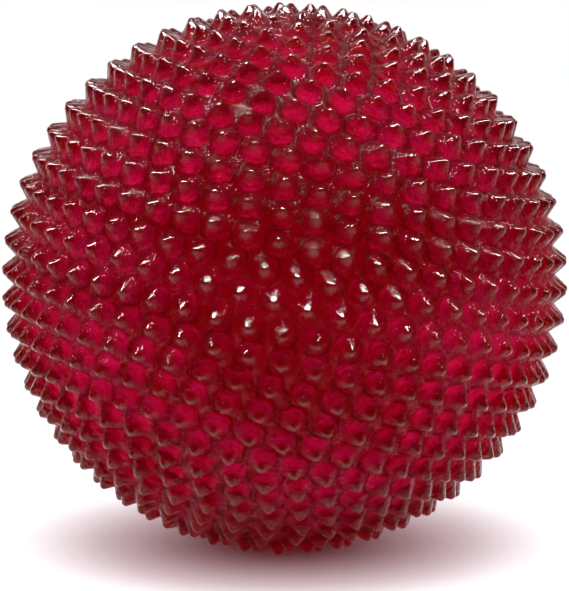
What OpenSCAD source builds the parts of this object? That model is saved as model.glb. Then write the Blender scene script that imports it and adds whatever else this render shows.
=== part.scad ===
// Sensory ball: a soft hollow ball covered in rings of conical nubs, with a stoppered inflation valve
// at the back. The ball stands on the lowest nubs, which its weight presses flat.

/* [Ball] */
// Width over the nub tips
ball_d = 180; // [150:1:220]
// Height of the skin as a share of its width, because a soft ball settles under its own weight
settle_share = 0.973; // [0.95:0.001:1]
// Wall of the skin between the nubs
skin_wall = 1.6; // [1.3:0.1:2.4]
// Depth to which the lowest nubs are pressed flat
press_depth = 1.4; // [1:0.1:1.8]

/* [Nubs] */
// Height of a nub above the skin
nub_h = 5.2; // [4:0.1:7]
// Rings of nubs from one pole to the other
nub_rings = 29; // [25:1:33]
// Nubs in the widest ring
nub_row = 51; // [44:1:56]
// Compass bearing to which the poles of the nub rings lean, in degrees
lean_bearing = 20; // [-180:1:180]
// Ring, counted from the lower pole, that holds the nub at the very bottom
rest_ring_from_pole = 2; // [1:1:4]

/* [Valve seat] */
// Rise of the valve's axis above level, in degrees
valve_rise = 15; // [0:1:30]
// Radius of the bare patch of skin around the valve
bare_r = 15; // [14:0.5:20]
// Radius of the seat's flange
flange_r = 9; // [8.8:0.1:10]
// Thickness of the seat's flange
flange_t = 1.6; // [1.4:0.1:2]
// Depth to which the flange is let into the skin
flange_sink = 1.2; // [1:0.1:1.4]
// Chamfer around the flange
flange_edge = 0.4; // [0.2:0.1:0.6]
// Outer radius of the seat's sleeve
sleeve_r = 5; // [4.6:0.1:5.6]
// Length of the sleeve below the flange
sleeve_l = 14; // [13:0.5:18]
// Radius of the bore that the stopper fills
bore_r = 3; // [2.8:0.1:3.4]
// Depth of the recess that holds the stopper's head
recess_depth = 1; // [0.8:0.1:1.2]
// Outer radius of the collar that the skin forms around the sleeve
collar_r = 8; // [7:0.1:8.4]
// Length of that collar
collar_l = 12; // [8:0.5:12.5]

/* [Stopper] */
// Radius of the stopper's head
head_r = 5.8; // [5:0.1:6.2]
// Thickness of the head
head_t = 1.5; // [1.3:0.1:2]
// Chamfer around the head
head_edge = 0.4; // [0.2:0.1:0.6]
// Radius of the dish in the head
dish_r = 3.6; // [2.6:0.1:4.2]
// Depth of the dish
dish_depth = 0.5; // [0.3:0.1:0.7]
// Length of the stem below the head
stem_l = 12; // [11:0.5:13]
// Radius of the stem between its sealing rings
stem_r = 2.4; // [1.9:0.1:2.5]
// Sealing rings on the stem
seal_rings = 3; // [2:1:3]
// Width of a sealing ring
seal_t = 1.4; // [1:0.1:1.8]
// Length of the tapered nose
nose_l = 3; // [2:0.5:3.5]
// Radius at the end of the nose
nose_r = 1.4; // [1:0.1:1.6]

/* [Fits] */
// Gap between a sealing ring and the bore
seal_gap = 0.05; // [0.02:0.01:0.09]
// Gap around the stopper's head in its recess
head_gap = 0.4; // [0.3:0.05:0.6]
// Overrun of cuts past the surfaces that they open
overrun = 1; // [0.5:0.1:2]

/* [Hidden] */
round_fn = 96;

// Skin colour, and the paler tone of the moulded valve pieces
skin_colour = [0.55, 0.02, 0.07];
seat_colour = [0.62, 0.05, 0.10];
stopper_colour = [0.70, 0.10, 0.14];

// Half-axes of the skin's outer surface and of the air space inside it
base_r = ball_d / 2 - nub_h;
base_c = base_r * settle_share;
air_r = base_r - skin_wall;
air_c = base_c - skin_wall;
air_steps = 30;

// Height of the ball's centre, with the lowest nubs pressed flat at zero
centre_z = base_c + nub_h - press_depth;

// The rings of nubs lean, so that one nub of the ring named above points straight down
ring_step = 180 / nub_rings;
rest_ring = nub_rings - 1 - rest_ring_from_pole;
lean = (rest_ring_from_pole + 0.5) * ring_step;
lean_axis = [-sin(lean_bearing), cos(lean_bearing), 0];

// The valve's axis leaves the back of the ball through its centre
valve_axis = [0, cos(valve_rise), sin(valve_rise)];
valve_base_r = 1 / norm([cos(valve_rise) / base_r, sin(valve_rise) / base_c]);
seat_z = valve_base_r - flange_sink;
recess_r = head_r + head_gap;
recess_z = flange_t - recess_depth;
seal_r = bore_r - seal_gap;
seal_pitch = (stem_l - nose_l) / (seal_rings + 0.5);

function unit(v) = v / norm(v);

// Polar angle and count of each ring of nubs, and the share of a step by which every other ring is turned
function ring_angle(ring) = (ring + 0.5) * ring_step;
function ring_count(ring) = max(3, round(nub_row * sin(ring_angle(ring))));
function turn_share(ring) = (ring - rest_ring) % 2 == 0 ? 0 : 0.5;
function nub_bearing(ring, i) = lean_bearing + (i + turn_share(ring)) * 360 / ring_count(ring);

// Direction of a nub before the rings lean, and after
function ring_direction(ring, bearing) =
    let (polar = ring_angle(ring)) [sin(polar) * cos(bearing), sin(polar) * sin(bearing), cos(polar)];
function leaned(v) =
    v * cos(lean) + cross(lean_axis, v) * sin(lean) + lean_axis * (lean_axis * v) * (1 - cos(lean));

// Direction of every nub, ring by ring from the upper pole down
nub_directions = [
    for (ring = [0 : nub_rings - 1])
        [for (i = [0 : ring_count(ring) - 1]) leaned(ring_direction(ring, nub_bearing(ring, i)))]
];
function nub(ring, i) = let (n = ring_count(ring)) nub_directions[ring][((i % n) + n) % n];

// Place, counted in the nubs of another ring, of the middle of the gap after nub i
function gap_place(ring, i, other) =
    (i + 0.5 + turn_share(ring)) * ring_count(other) / ring_count(ring) - turn_share(other);

// Triangles of neighbouring nubs over the whole ball, each clockwise from outside
nub_triangles = [
    [nub(0, 2), nub(0, 1), nub(0, 0)],
    for (ring = [0 : nub_rings - 2])
        for (i = [0 : ring_count(ring) - 1])
            [nub(ring, i), nub(ring, i + 1), nub(ring + 1, floor(gap_place(ring, i, ring + 1) + 0.5))],
    for (ring = [1 : nub_rings - 1])
        for (i = [0 : ring_count(ring) - 1])
            [nub(ring - 1, ceil(gap_place(ring, i, ring - 1) - 0.5)), nub(ring, i + 1), nub(ring, i)],
    [nub(nub_rings - 1, 0), nub(nub_rings - 1, 1), nub(nub_rings - 1, 2)]
];

// Point on the skin in a direction, the tip of a nub there, and the dip between two nubs
function skin_point(v) = [base_r * v.x, base_r * v.y, base_c * v.z];
function skin_normal(v) = unit([v.x, v.y, v.z / settle_share]);
function is_bare(p) = p * valve_axis > 0 && norm(cross(p, valve_axis)) < bare_r;
function tip(v) = let (p = skin_point(v)) is_bare(p) ? p : p + nub_h * skin_normal(v);
function dip(v, w) = skin_point(unit(v + w));

// Four facets for each triangle of nubs: one flank of each nub, and the floor between them
function facets(t) =
    let (ab = dip(t[0], t[1]), bc = dip(t[1], t[2]), ca = dip(t[2], t[0]))
    [tip(t[0]), ab, ca, ab, tip(t[1]), bc, ca, bc, tip(t[2]), ab, bc, ca];

module nub_field() {
    points = [for (t = nub_triangles) each facets(t)];
    polyhedron(points, [for (i = [0 : 3 : len(points) - 1]) [i, i + 1, i + 2]], convexity = 6);
}

module air_space() {
    outline = [
        for (i = [0 : air_steps]) let (a = 180 * i / air_steps - 90) [air_r * cos(a), air_c * sin(a)]
    ];
    rotate_extrude($fn = round_fn) polygon(outline);
}

// Moves what is drawn along +Z from the origin onto the valve's axis, with the flange's seat at zero
module on_valve() {
    translate([0, 0, centre_z]) rotate([valve_rise - 90, 0, 0]) translate([0, 0, seat_z]) children();
}

module collar() {
    translate([0, 0, -collar_l]) cylinder(h = collar_l + flange_t, r = collar_r, $fn = round_fn);
}

module seat_pocket() {
    cylinder(h = nub_h + flange_t, r = flange_r, $fn = round_fn);
    translate([0, 0, -collar_l - overrun])
        cylinder(h = collar_l + 2 * overrun, r = sleeve_r, $fn = round_fn);
}

module surface_below() {
    translate([-ball_d, -ball_d, -ball_d]) cube([2 * ball_d, 2 * ball_d, ball_d]);
}

module nubbed_skin() {
    color(skin_colour) difference() {
        translate([0, 0, centre_z]) nub_field();
        difference() {
            translate([0, 0, centre_z]) air_space();
            on_valve() collar();
        }
        on_valve() seat_pocket();
        surface_below();
    }
}

module valve_seat() {
    outline = [
        [bore_r, -sleeve_l], [sleeve_r, -sleeve_l], [sleeve_r, 0], [flange_r, 0],
        [flange_r, flange_t - flange_edge], [flange_r - flange_edge, flange_t], [recess_r, flange_t],
        [recess_r, recess_z], [bore_r, recess_z]
    ];
    color(seat_colour) on_valve() rotate_extrude($fn = round_fn) polygon(outline);
}

module valve_stopper() {
    seals = [
        for (i = [1 : seal_rings]) let (z = -i * seal_pitch)
            each [[stem_r, z + seal_t], [seal_r, z + seal_t], [seal_r, z + seal_t / 2], [stem_r, z]]
    ];
    outline = concat(
        [[0, head_t - dish_depth], [dish_r - dish_depth, head_t - dish_depth], [dish_r, head_t]],
        [[head_r - head_edge, head_t], [head_r, head_t - head_edge], [head_r, 0], [stem_r, 0]],
        seals,
        [[stem_r, nose_l - stem_l], [nose_r, -stem_l], [0, -stem_l]]
    );
    color(stopper_colour) on_valve() translate([0, 0, recess_z])
        rotate_extrude($fn = round_fn) polygon(outline);
}

nubbed_skin();
valve_seat();
valve_stopper();
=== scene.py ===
import math
import random

import bmesh
import bpy
from mathutils import Matrix, Vector
from mathutils.kdtree import KDTree


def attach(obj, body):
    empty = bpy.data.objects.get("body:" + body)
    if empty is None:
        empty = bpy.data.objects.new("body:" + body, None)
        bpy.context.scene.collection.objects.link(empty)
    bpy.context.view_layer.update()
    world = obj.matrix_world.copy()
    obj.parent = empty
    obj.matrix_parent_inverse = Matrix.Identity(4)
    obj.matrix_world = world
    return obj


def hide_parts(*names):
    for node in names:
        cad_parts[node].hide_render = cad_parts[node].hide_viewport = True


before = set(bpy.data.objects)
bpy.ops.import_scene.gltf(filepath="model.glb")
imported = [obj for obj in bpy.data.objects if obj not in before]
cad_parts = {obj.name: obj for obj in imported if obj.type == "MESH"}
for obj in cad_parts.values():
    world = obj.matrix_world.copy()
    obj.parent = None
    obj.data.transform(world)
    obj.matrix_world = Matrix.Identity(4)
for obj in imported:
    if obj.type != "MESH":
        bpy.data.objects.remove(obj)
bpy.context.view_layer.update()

bl_info = {
    "name": "Sensory ball",
    "version": (1, 0, 0),
    "blender": (4, 5, 0),
    "location": "3D View > Sidebar > Sensory ball",
    "description": "Builds a soft nubbed ball with its valve, and a plain studio around it",
    "category": "Add Mesh",
}


class NubbedSkinSettings(bpy.types.PropertyGroup):
    """Sizes and colours of the moulded skin."""

    width: bpy.props.FloatProperty(
        name="Width", description="Width over the nub tips",
        default=0.18, unit="LENGTH")
    settle: bpy.props.FloatProperty(
        name="Settle", description="Height of the skin as a share of its width",
        default=0.973, subtype="FACTOR")
    wall: bpy.props.FloatProperty(
        name="Wall", description="Wall of the skin between the nubs",
        default=0.0016, unit="LENGTH")
    dimple: bpy.props.FloatProperty(
        name="Dimple", description="Depth of the hollow behind a nub",
        default=0.003, unit="LENGTH")
    press: bpy.props.FloatProperty(
        name="Press", description="Depth to which the lowest nubs are pressed flat",
        default=0.0014, unit="LENGTH")
    nub_height: bpy.props.FloatProperty(
        name="Nub height", description="Height of a nub above the skin",
        default=0.0052, unit="LENGTH")
    tip_radius: bpy.props.FloatProperty(
        name="Tip radius", description="Radius of a nub's round tip",
        default=0.0014, unit="LENGTH")
    floor_sink: bpy.props.FloatProperty(
        name="Floor sink", description="Depth of the hollow between three nubs",
        default=0.0003, unit="LENGTH")
    sway: bpy.props.FloatProperty(
        name="Sway", description="Largest shift of a soft nub's tip along each axis",
        default=0.0003, unit="LENGTH")
    rings: bpy.props.IntProperty(
        name="Rings", description="Rings of nubs from one pole to the other",
        default=29)
    row: bpy.props.IntProperty(
        name="Row", description="Nubs in the widest ring",
        default=51)
    lean_bearing: bpy.props.FloatProperty(
        name="Lean bearing", description="Bearing to which the poles of the rings lean",
        default=math.radians(20), subtype="ANGLE")
    rest_ring: bpy.props.IntProperty(
        name="Rest ring", description="Ring from the lower pole that holds the lowest nub",
        default=2)
    tint: bpy.props.FloatVectorProperty(
        name="Tint", description="Tint of the outer surface",
        default=(0.98, 0.75, 0.88), subtype="COLOR")
    inner_tint: bpy.props.FloatVectorProperty(
        name="Inner tint", description="Tint of the inner surface",
        default=(0.47, 0.001, 0.02), subtype="COLOR")
    depth_tint: bpy.props.FloatVectorProperty(
        name="Depth tint", description="Colour that the vinyl lets through",
        default=(0.945, 0.01, 0.5), subtype="COLOR")
    density: bpy.props.FloatProperty(
        name="Density", description="Strength of the tint in the vinyl's depth",
        default=500)


class ValveSettings(bpy.types.PropertyGroup):
    """Sizes of the valve that the skin leaves room for, and its colours."""

    rise: bpy.props.FloatProperty(
        name="Rise", description="Rise of the valve's axis above level",
        default=math.radians(15), subtype="ANGLE")
    bare_radius: bpy.props.FloatProperty(
        name="Bare patch", description="Radius of the bare skin around the valve",
        default=0.015, unit="LENGTH")
    flange_radius: bpy.props.FloatProperty(
        name="Flange radius", description="Radius of the pocket for the flange",
        default=0.009, unit="LENGTH")
    flange_sink: bpy.props.FloatProperty(
        name="Flange sink", description="Depth to which the flange is let in",
        default=0.0012, unit="LENGTH")
    sleeve_radius: bpy.props.FloatProperty(
        name="Sleeve radius", description="Radius of the hole for the sleeve",
        default=0.005, unit="LENGTH")
    collar_radius: bpy.props.FloatProperty(
        name="Collar radius", description="Outer radius of the skin's collar",
        default=0.008, unit="LENGTH")
    collar_length: bpy.props.FloatProperty(
        name="Collar length", description="Length of the skin's collar",
        default=0.012, unit="LENGTH")
    seat_tint: bpy.props.FloatVectorProperty(
        name="Seat tint", description="Colour of the seat",
        default=(0.8, 0.06, 0.14), subtype="COLOR")
    stopper_tint: bpy.props.FloatVectorProperty(
        name="Stopper tint", description="Colour of the stopper",
        default=(0.9, 0.14, 0.24), subtype="COLOR")


class StageSettings(bpy.types.PropertyGroup):
    """Camera and light of the plain studio."""

    elevation: bpy.props.FloatProperty(
        name="Elevation", description="Height of the camera above level",
        default=math.radians(11), subtype="ANGLE")
    distance: bpy.props.FloatProperty(
        name="Distance", description="Distance from the camera to the point it looks at",
        default=2.2, unit="LENGTH")
    key_power: bpy.props.FloatProperty(
        name="Key power", description="Power of the softbox above the ball",
        default=5.0, unit="POWER")


def half_axes(skin):
    """Half-width and half-height of the skin's outer surface between the nubs."""
    base = skin.width / 2 - skin.nub_height
    return base, base * skin.settle


def ball_centre(skin):
    """Centre of the ball, which stands on its pressed nubs."""
    return Vector((0, 0, half_axes(skin)[1] + skin.nub_height - skin.press))


def on_ellipsoid(direction, axes):
    """Point of an ellipsoid, seen from its centre."""
    wide, high = axes
    return Vector((wide * direction.x, wide * direction.y, high * direction.z))


def out_of_skin(direction, skin):
    """The way that a nub stands out of the skin."""
    return Vector((direction.x, direction.y, direction.z / skin.settle)).normalized()


def is_bare(point, valve):
    """Whether a point of the skin, seen from the ball's centre, lies in the bare patch around the valve."""
    axis = Vector((0, math.cos(valve.rise), math.sin(valve.rise)))
    return point.dot(axis) > 0 and point.cross(axis).length < valve.bare_radius


def valve_frame(skin, valve):
    """Matrix that lays +Z along the valve's axis, with its origin where the flange sits."""
    base, high = half_axes(skin)
    reach = 1 / math.hypot(math.cos(valve.rise) / base, math.sin(valve.rise) / high)
    turn = Matrix.Rotation(valve.rise - math.pi / 2, 4, "X")
    return (Matrix.Translation(ball_centre(skin)) @ turn
            @ Matrix.Translation((0, 0, reach - valve.flange_sink)))


def nub_directions(skin):
    """Directions of all nubs, ring by ring, leaned so that one nub points straight down."""
    step = math.pi / skin.rings
    rest = skin.rings - 1 - skin.rest_ring
    lean_axis = Vector((-math.sin(skin.lean_bearing), math.cos(skin.lean_bearing), 0))
    lean = Matrix.Rotation((skin.rest_ring + 0.5) * step, 3, lean_axis)
    directions = []
    for ring in range(skin.rings):
        polar = (ring + 0.5) * step
        flat = math.sin(polar)
        count = max(3, math.floor(skin.row * flat + 0.5))
        turn = 0 if (ring - rest) % 2 == 0 else 0.5
        for i in range(count):
            bearing = skin.lean_bearing + (i + turn) * math.tau / count
            upright = Vector((flat * math.cos(bearing), flat * math.sin(bearing), math.cos(polar)))
            directions.append(lean @ upright)
    return directions


def applied(obj):
    """Replaces an object's mesh with what its modifiers make of it."""
    bpy.context.view_layer.update()
    depsgraph = bpy.context.evaluated_depsgraph_get()
    old, mesh = obj.data, bpy.data.meshes.new_from_object(obj.evaluated_get(depsgraph))
    obj.modifiers.clear()
    obj.data = mesh
    bpy.data.meshes.remove(old)
    return obj


def linked_object(name, bm):
    """A new object in the scene from a bmesh, which is freed."""
    mesh = bpy.data.meshes.new(name)
    bm.to_mesh(mesh)
    bm.free()
    obj = bpy.data.objects.new(name, mesh)
    bpy.context.scene.collection.objects.link(obj)
    return obj


def carved(obj, tools):
    """Cuts the tool objects out of an object, and removes them."""
    for tool in tools:
        cut = obj.modifiers.new("Cut", "BOOLEAN")
        cut.operation = "DIFFERENCE"
        cut.solver = "EXACT"
        cut.object = tool
    applied(obj)
    for tool in tools:
        mesh = tool.data
        bpy.data.objects.remove(tool)
        bpy.data.meshes.remove(mesh)
    return obj


def rod(name, radius, low, high, place):
    """A closed cylinder along +Z of a frame."""
    bm = bmesh.new()
    bmesh.ops.create_cone(
        bm, cap_ends=True, segments=96, radius1=radius, radius2=radius, depth=high - low,
        matrix=place @ Matrix.Translation((0, 0, (low + high) / 2)))
    return linked_object(name, bm)


def nub_radius(share, foot_radius, skin):
    """Radius of a nub at a share of its height: a straight flank that runs into a round tip."""
    height = share * skin.nub_height
    round_from = skin.nub_height - skin.tip_radius
    lean = (math.atan2(foot_radius, round_from)
            - math.asin(skin.tip_radius / math.hypot(foot_radius, round_from)))
    if height > round_from + skin.tip_radius * math.sin(lean):
        return math.sqrt(skin.tip_radius ** 2 - (height - round_from) ** 2)
    return foot_radius - height * math.tan(lean)


def nub_field(skin, valve):
    """The outer surface: a round cone in each nub's place, and a small hollow between each three."""
    axes = half_axes(skin)
    directions = nub_directions(skin)
    tree = KDTree(len(directions))
    bm = bmesh.new()
    for i, direction in enumerate(directions):
        tree.insert(direction, i)
        bm.verts.new(direction)
    tree.balance()
    bmesh.ops.convex_hull(bm, input=bm.verts[:])
    near_half = 49
    bmesh.ops.bevel(bm, geom=bm.verts[:], offset=near_half, offset_type="PERCENT", affect="VERTICES",
                    segments=1, profile=0.5, material=-1)

    # Each face lies either around a nub's axis or between three nubs
    owner = bm.faces.layers.int.new("nub")
    off_axis = math.radians(1.6)
    cells, floors = [], []
    for face in bm.faces:
        middle = face.calc_center_median().normalized()
        axis, i, _ = tree.find(middle)
        face[owner] = i
        if axis.angle(middle) > off_axis:
            floors.append(face)
        else:
            cells.append(face)

    # The sides of a cell are bowed out until it is round, but its corners stay convex
    bow, convex_share = 1.08, 0.98
    corners = set(bm.verts)
    sides = list(dict.fromkeys(edge for face in cells for edge in face.edges))
    bmesh.ops.bisect_edges(bm, edges=sides, cuts=1)
    bowed = {}
    for face in cells:
        axis = directions[face[owner]]
        for loop in face.loops:
            if loop.vert not in corners:
                before, after = (
                    near.vert.co.normalized() - axis for near in (loop.link_loop_prev, loop.link_loop_next))
                way = (before.normalized() + after.normalized()).normalized()
                round_reach = bow * (before.length + after.length) / 2
                most = convex_share * min(before.length, after.length) / way.dot(before.normalized())
                bowed[loop.vert] = axis + way * min(round_reach, most)
    for vert, place in bowed.items():
        vert.co = place
    for vert in bm.verts:
        vert.co = on_ellipsoid(vert.co.normalized(), axes)
    for vert in bmesh.ops.poke(bm, faces=floors)["verts"]:
        middle = vert.co.normalized()
        vert.co = on_ellipsoid(middle, axes) - middle * skin.floor_sink

    # Each round cell is drawn out in rings to a round tip, which ends just inside the CAD nub
    ring_shares, tip_share = (0.04, 0.5, 0.91, 0.97), 0.992
    sway_seed = 11
    draw = random.Random(sway_seed)
    sways = [Vector([draw.uniform(-skin.sway, skin.sway) for _ in range(3)]) for _ in directions]

    def on_nub(i, share):
        """Point on a nub's axis at a share of its height, and the way that the nub stands."""
        direction = directions[i]
        normal = out_of_skin(direction, skin)
        sway = sways[i] - normal * sways[i].dot(normal)
        return on_ellipsoid(direction, axes) + normal * (skin.nub_height * share) + sway * share, normal

    cells = [face for face in cells if not is_bare(on_ellipsoid(directions[face[owner]], axes), valve)]
    foot_radius = {}
    for face in cells:
        foot, _ = on_nub(face[owner], 0)
        foot_radius[face[owner]] = sum((vert.co - foot).length for vert in face.verts) / len(face.verts)
    for share in ring_shares:
        cells = bmesh.ops.extrude_discrete_faces(bm, faces=cells)["faces"]
        for face in cells:
            middle, normal = on_nub(face[owner], share)
            radius = nub_radius(share, foot_radius[face[owner]], skin)
            for vert in face.verts:
                out = vert.co - middle
                out -= normal * out.dot(normal)
                vert.co = middle + out.normalized() * radius
    for vert in bmesh.ops.poke(bm, faces=cells)["verts"]:
        vert.co, _ = on_nub(vert.link_faces[0][owner], tip_share)
    bmesh.ops.recalc_face_normals(bm, faces=bm.faces[:])
    bmesh.ops.translate(bm, verts=bm.verts[:], vec=ball_centre(skin))
    for vert in bm.verts:
        vert.co.z = max(vert.co.z, 0.0)
    return linked_object("nubbed_ball_skin", bm)


def air_space(skin, valve):
    """The hollow inside the skin, with a soft dimple behind each nub."""
    axes = [axis - skin.wall for axis in half_axes(skin)]
    bm = bmesh.new()
    nubs = [bm.verts.new(direction) for direction in nub_directions(skin)]
    bmesh.ops.convex_hull(bm, input=nubs)
    bmesh.ops.subdivide_edges(bm, edges=bm.edges[:], cuts=1, use_grid_fill=True)
    behind_nub = set(nubs)
    rounding_loss = 0.72
    for vert in bm.verts:
        direction = vert.co.normalized()
        vert.co = on_ellipsoid(direction, axes)
        if vert in behind_nub and not is_bare(vert.co, valve):
            vert.co += out_of_skin(direction, skin) * (skin.dimple / rounding_loss)
    bmesh.ops.recalc_face_normals(bm, faces=bm.faces[:])
    bmesh.ops.translate(bm, verts=bm.verts[:], vec=ball_centre(skin))
    hollow = linked_object("air_space", bm)
    rounder = hollow.modifiers.new("Round", "SUBSURF")
    rounder.levels = rounder.render_levels = 1
    return applied(hollow)


def gloss_at(share):
    """Strength of the clear gloss at a share of a nub's height: full on the tip, a trace in the hollows."""
    on_tip = share * 7 - 5.6
    in_hollow = 0.08 - share * 5
    return min(max(on_tip, in_hollow, 0), 1)


def make_skin(skin, valve):
    """The hollow skin, with its collar and the pocket for the valve's seat, marked for its material."""
    place = valve_frame(skin, valve)
    past, past_seat = 0.003, 0.001
    hollow = air_space(skin, valve)
    collar = rod("collar", valve.collar_radius, -valve.collar_length, past, place)
    carved(hollow, [collar])
    pocket = rod("pocket", valve.flange_radius, 0, skin.nub_height + past, place)
    hole = rod("hole", valve.sleeve_radius, -valve.collar_length - past, past_seat, place)
    obj = carved(nub_field(skin, valve), [hollow, pocket, hole])

    centre = ball_centre(skin)
    wide, high = half_axes(skin)
    obj.data.attributes.new("gloss", "FLOAT", "POINT")
    obj.data.attributes.new("inside", "FLOAT", "POINT")
    gloss, inside = (obj.data.attributes[name].data for name in ("gloss", "inside"))
    for i, vert in enumerate(obj.data.vertices):
        x, y, z = vert.co - centre
        share = (Vector((x / wide, y / wide, z / high)).length - 1) * wide / skin.nub_height
        gloss[i].value = gloss_at(share)
    for polygon in obj.data.polygons:
        polygon.use_smooth = True
        if polygon.normal.dot(polygon.center - centre) < 0:
            for i in polygon.vertices:
                inside[i].value, gloss[i].value = 1.0, 0.0
    sharp_from = math.radians(55)
    obj.data.set_sharp_from_angle(angle=sharp_from)
    return obj


# Sockets of a Mix node for each kind of value: the factor and the two values, then the result
MIX_SOCKETS = {"FLOAT": ((0, 2, 3), 0), "RGBA": ((0, 6, 7), 2)}


def feed(tree, socket, value):
    """Links a socket to another one, or sets it to a plain value."""
    if isinstance(value, bpy.types.NodeSocket):
        tree.links.new(value, socket)
    else:
        socket.default_value = value


def math_node(tree, operation, *values):
    """Result of a Math node fed with sockets or plain numbers."""
    node = tree.nodes.new("ShaderNodeMath")
    node.operation = operation
    for socket, value in zip(node.inputs, values):
        feed(tree, socket, value)
    return node.outputs[0]


def mix_node(tree, kind, *values):
    """Result of a Mix node fed with a factor and two values."""
    node = tree.nodes.new("ShaderNodeMix")
    node.data_type = kind
    places, result = MIX_SOCKETS[kind]
    for place, value in zip(places, values):
        feed(tree, node.inputs[place], value)
    return node.outputs[result]


def noise_node(tree, where, scale):
    """Value of a noise texture with some detail."""
    node = tree.nodes.new("ShaderNodeTexNoise")
    node.inputs["Scale"].default_value = scale
    node.inputs["Detail"].default_value = 3
    tree.links.new(where, node.inputs["Vector"])
    return node.outputs["Fac"]


def mark_node(tree, name):
    """Value of a point attribute of the mesh, or 0 on a mesh without it."""
    node = tree.nodes.new("ShaderNodeAttribute")
    node.attribute_name = name
    return node.outputs["Fac"]


def vinyl_group():
    """Node group of soft vinyl's surface: a clouded tint and gloss, matt inside, with fine ripples."""
    known = bpy.data.node_groups.get("vinyl_surface")
    if known:
        return known
    group = bpy.data.node_groups.new("vinyl_surface", "ShaderNodeTree")
    for side, name, kind in (
        ("INPUT", "Tint", "NodeSocketColor"),
        ("INPUT", "Inner tint", "NodeSocketColor"),
        ("INPUT", "Roughness", "NodeSocketFloat"),
        ("INPUT", "Inner roughness", "NodeSocketFloat"),
        ("INPUT", "Ripple", "NodeSocketFloat"),
        ("OUTPUT", "Color", "NodeSocketColor"),
        ("OUTPUT", "Roughness", "NodeSocketFloat"),
        ("OUTPUT", "Normal", "NodeSocketVector"),
    ):
        group.interface.new_socket(name, in_out=side, socket_type=kind)
    nodes, links = group.nodes, group.links
    given = nodes.new("NodeGroupInput").outputs
    result = nodes.new("NodeGroupOutput").inputs
    where = nodes.new("ShaderNodeTexCoord").outputs["Object"]
    inside = mark_node(group, "inside")

    shade = nodes.new("ShaderNodeMapRange")
    shade.inputs["To Min"].default_value = 0.85
    links.new(noise_node(group, where, 60), shade.inputs["Value"])
    clouded = nodes.new("ShaderNodeVectorMath")
    clouded.operation = "SCALE"
    links.new(mix_node(group, "RGBA", inside, given["Tint"], given["Inner tint"]), clouded.inputs[0])
    links.new(shade.outputs["Result"], clouded.inputs["Scale"])
    links.new(clouded.outputs["Vector"], result["Color"])

    uneven = math_node(group, "MULTIPLY", given["Roughness"], shade.outputs["Result"])
    links.new(mix_node(group, "FLOAT", inside, uneven, given["Inner roughness"]), result["Roughness"])

    bump = nodes.new("ShaderNodeBump")
    bump.inputs["Distance"].default_value = 0.0009
    links.new(given["Ripple"], bump.inputs["Strength"])
    links.new(noise_node(group, where, 600), bump.inputs["Height"])
    links.new(bump.outputs["Normal"], result["Normal"])
    return group


def vinyl(name, tint, inner_tint, depth_tint, density, roughness=0.08, ripple=1.0, clear=1.0, shine=0.0):
    """Translucent soft vinyl, tinted at its surfaces and in its depth, glossy where it is marked."""
    material = bpy.data.materials.new(name)
    material.use_nodes = True
    tree = material.node_tree
    nodes, links = tree.nodes, tree.links
    shader = nodes["Principled BSDF"]
    shader.inputs["Transmission Weight"].default_value = clear
    shader.inputs["IOR"].default_value = 1.5
    shader.inputs["Specular Tint"].default_value = (shine, shine, shine, 1)
    shader.inputs["Coat IOR"].default_value = 1.4
    shader.inputs["Coat Roughness"].default_value = 0.015
    links.new(mark_node(tree, "gloss"), shader.inputs["Coat Weight"])
    surface = nodes.new("ShaderNodeGroup")
    surface.node_tree = vinyl_group()
    surface.inputs["Tint"].default_value = (*tint, 1)
    surface.inputs["Inner tint"].default_value = (*inner_tint, 1)
    surface.inputs["Roughness"].default_value = roughness
    surface.inputs["Inner roughness"].default_value = 0.4
    surface.inputs["Ripple"].default_value = ripple
    links.new(surface.outputs["Color"], shader.inputs["Base Color"])
    links.new(surface.outputs["Roughness"], shader.inputs["Roughness"])
    links.new(surface.outputs["Normal"], shader.inputs["Normal"])
    depth = nodes.new("ShaderNodeVolumeAbsorption")
    depth.inputs["Color"].default_value = (*depth_tint, 1)
    depth.inputs["Density"].default_value = density
    links.new(depth.outputs["Volume"], nodes["Material Output"].inputs["Volume"])
    return material


class SENSORYBALL_OT_skin(bpy.types.Operator):
    """Build the nubbed skin"""

    bl_idname = "sensoryball.skin"
    bl_label = "Nubbed skin"

    def execute(self, context):
        skin = context.scene.nubbed_skin
        obj = make_skin(skin, context.scene.ball_valve)
        ruby = vinyl("ruby_vinyl", skin.tint, skin.inner_tint, skin.depth_tint, skin.density)
        obj.data.materials.clear()
        obj.data.materials.append(ruby)
        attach(obj, "ball")
        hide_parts("nubbed_skin")
        return {"FINISHED"}


class SENSORYBALL_OT_valve(bpy.types.Operator):
    """Finish the valve's seat and its stopper"""

    bl_idname = "sensoryball.valve"
    bl_label = "Valve"

    def execute(self, context):
        valve = context.scene.ball_valve
        seat, stopper = valve.seat_tint, valve.stopper_tint
        firm = {"roughness": 0.2, "ripple": 0.2, "clear": 0.8, "shine": 1.0}
        looks = {
            "valve_seat": vinyl("seat_vinyl", seat, seat, seat, density=260, **firm),
            "valve_stopper": vinyl("stopper_vinyl", stopper, stopper, stopper, density=220, **firm),
        }
        for node, material in looks.items():
            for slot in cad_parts[node].material_slots:
                slot.material = material
        return {"FINISHED"}


def area_light(name, place, aim, size, power):
    """A rectangular lamp for the paper floor. The room's own light is what shines through the vinyl."""
    light = bpy.data.lights.new(name, "AREA")
    light.shape = "RECTANGLE"
    light.size, light.size_y = size
    light.energy = power
    obj = bpy.data.objects.new(name, light)
    obj.location = place
    obj.rotation_euler = (Vector(aim) - Vector(place)).to_track_quat("-Z", "Y").to_euler()
    obj.visible_camera = obj.visible_glossy = obj.visible_transmission = False
    bpy.context.scene.collection.objects.link(obj)


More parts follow.
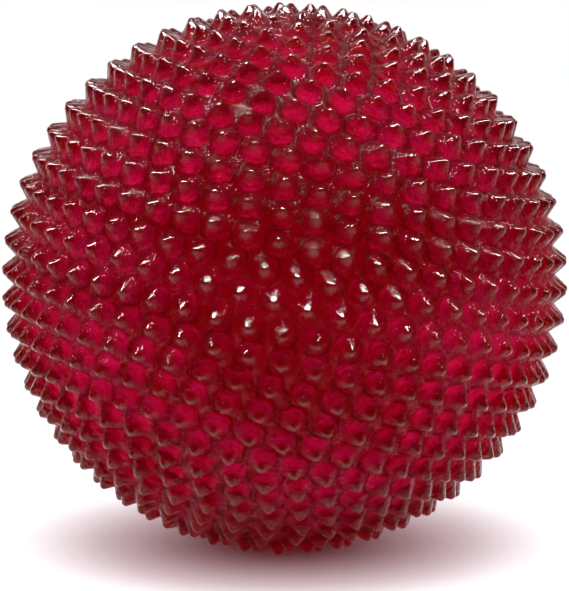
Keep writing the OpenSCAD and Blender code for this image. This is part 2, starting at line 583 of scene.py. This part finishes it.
def paper():
    """White paper with the ball's shadow, a painted red glow close by, and plain white farther out."""
    material = bpy.data.materials.new("white_paper")
    material.use_nodes = True
    tree = material.node_tree
    nodes, links = tree.nodes, tree.links
    shader = nodes["Principled BSDF"]
    shader.inputs["Roughness"].default_value = 0.9
    shader.inputs["Specular IOR Level"].default_value = 0
    far = nodes.new("ShaderNodeVectorMath")
    far.operation = "LENGTH"
    links.new(nodes.new("ShaderNodeTexCoord").outputs["Object"], far.inputs[0])

    def fade(start, end):
        """Rises from 0 to 1 between two distances from the ball's foot."""
        node = nodes.new("ShaderNodeMapRange")
        node.interpolation_type = "SMOOTHSTEP"
        node.inputs["From Min"].default_value = start
        node.inputs["From Max"].default_value = end
        links.new(far.outputs["Value"], node.inputs["Value"])
        return node.outputs["Result"]

    to_white = fade(0.08, 0.26)
    # Close to the ball the paper is tinted red: a painted glow in place of the light that shines through
    # the vinyl onto the floor.
    past_painted_glow = fade(0.02, 0.105)
    painted_glow_tint, white = (0.86, 0.62, 0.67, 1), (0.9, 0.9, 0.92, 1)
    links.new(mix_node(tree, "RGBA", past_painted_glow, painted_glow_tint, white), shader.inputs["Base Color"])

    path = nodes.new("ShaderNodeLightPath").outputs
    by_glass = math_node(tree, "MAXIMUM", path["Is Glossy Ray"], path["Is Transmission Ray"])
    seen = math_node(tree, "MAXIMUM", path["Is Camera Ray"], by_glass)
    far_white = math_node(tree, "MULTIPLY", seen, to_white)
    least_through_vinyl = math_node(tree, "MULTIPLY", path["Is Transmission Ray"], 0.4)
    mix = nodes.new("ShaderNodeMixShader")
    links.new(math_node(tree, "MAXIMUM", far_white, least_through_vinyl), mix.inputs[0])
    links.new(shader.outputs[0], mix.inputs[1])
    links.new(nodes.new("ShaderNodeEmission").outputs[0], mix.inputs[2])
    links.new(mix.outputs[0], nodes["Material Output"].inputs["Surface"])
    return material


def studio_world():
    """A white room, dim ahead of the ball and bright overhead, with a panel that only gloss mirrors."""
    world = bpy.data.worlds.new("studio")
    world.use_nodes = True
    tree = world.node_tree
    nodes, links = tree.nodes, tree.links
    path = nodes.new("ShaderNodeLightPath").outputs
    split = nodes.new("ShaderNodeSeparateXYZ")
    links.new(nodes.new("ShaderNodeTexCoord").outputs["Generated"], split.inputs[0])
    x, y, z = split.outputs
    mirror = math_node(tree, "MULTIPLY", path["Is Glossy Ray"], path["Is Reflection Ray"])

    # Away from the white wall behind the ball, each kind of ray sees its own level
    level_ahead, rise_overhead, mirror_level, diffuse_gain = 0.25, 1.3, 0.05, 0.7
    up = math_node(tree, "MAXIMUM", z, 0.0)
    shining_in = math_node(tree, "MULTIPLY_ADD", up, rise_overhead, level_ahead)
    ahead = mix_node(tree, "FLOAT", mirror, shining_in, mirror_level)
    front = math_node(tree, "MULTIPLY_ADD", path["Is Diffuse Ray"], diffuse_gain, ahead)
    room = nodes.new("ShaderNodeMapRange")
    room.inputs["From Min"].default_value = 0.55
    room.inputs["From Max"].default_value = 0.95
    links.new(y, room.inputs["Value"])
    links.new(front, room.inputs["To Min"])

    panel_y, half_depth, half_width, panel_strength = -0.03, 0.16, 0.6, 65.0
    along = math_node(tree, "COMPARE", y, panel_y, half_depth)
    across = math_node(tree, "COMPARE", x, 0.0, half_width)
    above = math_node(tree, "GREATER_THAN", z, 0.0)
    panel = math_node(tree, "MULTIPLY", math_node(tree, "MULTIPLY", along, across), above)
    mirrored = math_node(tree, "MULTIPLY", panel, math_node(tree, "MULTIPLY", mirror, panel_strength))
    light = math_node(tree, "ADD", room.outputs["Result"], mirrored)
    level = mix_node(tree, "FLOAT", path["Is Camera Ray"], light, 1.0)
    back = nodes["Background"]
    back.inputs["Color"].default_value = (1, 1, 1, 1)
    links.new(level, back.inputs["Strength"])
    return world


class SENSORYBALL_OT_stage(bpy.types.Operator):
    """Set the floor, the light and the camera"""

    bl_idname = "sensoryball.stage"
    bl_label = "Studio"

    def execute(self, context):
        scene = context.scene
        stage = scene.ball_stage
        centre = ball_centre(scene.nubbed_skin)
        bm = bmesh.new()
        bmesh.ops.create_grid(bm, x_segments=1, y_segments=1, size=4)
        floor = linked_object("floor", bm)
        floor.data.materials.append(paper())
        area_light("softbox", place=(0, -0.1, 0.95), aim=centre, size=(0.9, 0.6), power=stage.key_power)
        scene.world = studio_world()

        # In the picture: its width, the ball's reach to its side, and the picture's middle below the ball's
        wide, tip_pixels, drop_pixels = 569, 283.3, 17.4
        radius = scene.nubbed_skin.width / 2
        focal_pixels = tip_pixels * math.sqrt(stage.distance ** 2 - radius ** 2) / radius
        camera = bpy.data.cameras.new("camera")
        camera.sensor_fit = "HORIZONTAL"
        camera.lens = camera.sensor_width * focal_pixels / wide
        obj = bpy.data.objects.new("camera", camera)
        toward = Vector((0, -math.cos(stage.elevation), math.sin(stage.elevation)))
        up = Vector((0, math.sin(stage.elevation), math.cos(stage.elevation)))
        aim = centre - up * (drop_pixels * radius / tip_pixels)
        obj.location = aim + toward * stage.distance
        obj.rotation_euler = (-toward).to_track_quat("-Z", "Y").to_euler()
        scene.collection.objects.link(obj)
        scene.camera = obj
        scene.view_settings.view_transform = "Standard"
        return {"FINISHED"}


class SENSORYBALL_PT_panel(bpy.types.Panel):
    """Lists the steps that build the ball"""

    bl_idname = "SENSORYBALL_PT_panel"
    bl_label = "Sensory ball"
    bl_space_type = "VIEW_3D"
    bl_region_type = "UI"
    bl_category = "Sensory ball"

    def draw(self, context):
        for operator in (SENSORYBALL_OT_skin, SENSORYBALL_OT_valve, SENSORYBALL_OT_stage):
            self.layout.operator(operator.bl_idname)


CLASSES = (
    NubbedSkinSettings, ValveSettings, StageSettings,
    SENSORYBALL_OT_skin, SENSORYBALL_OT_valve, SENSORYBALL_OT_stage, SENSORYBALL_PT_panel,
)


def register():
    for cls in CLASSES:
        bpy.utils.register_class(cls)
    bpy.types.Scene.nubbed_skin = bpy.props.PointerProperty(type=NubbedSkinSettings)
    bpy.types.Scene.ball_valve = bpy.props.PointerProperty(type=ValveSettings)
    bpy.types.Scene.ball_stage = bpy.props.PointerProperty(type=StageSettings)


def unregister():
    del bpy.types.Scene.nubbed_skin, bpy.types.Scene.ball_valve, bpy.types.Scene.ball_stage
    for cls in reversed(CLASSES):
        bpy.utils.unregister_class(cls)


def main():
    """Builds the ball and its studio."""
    register()
    bpy.ops.sensoryball.skin()
    bpy.ops.sensoryball.valve()
    bpy.ops.sensoryball.stage()


if __name__ == "__main__":
    main()
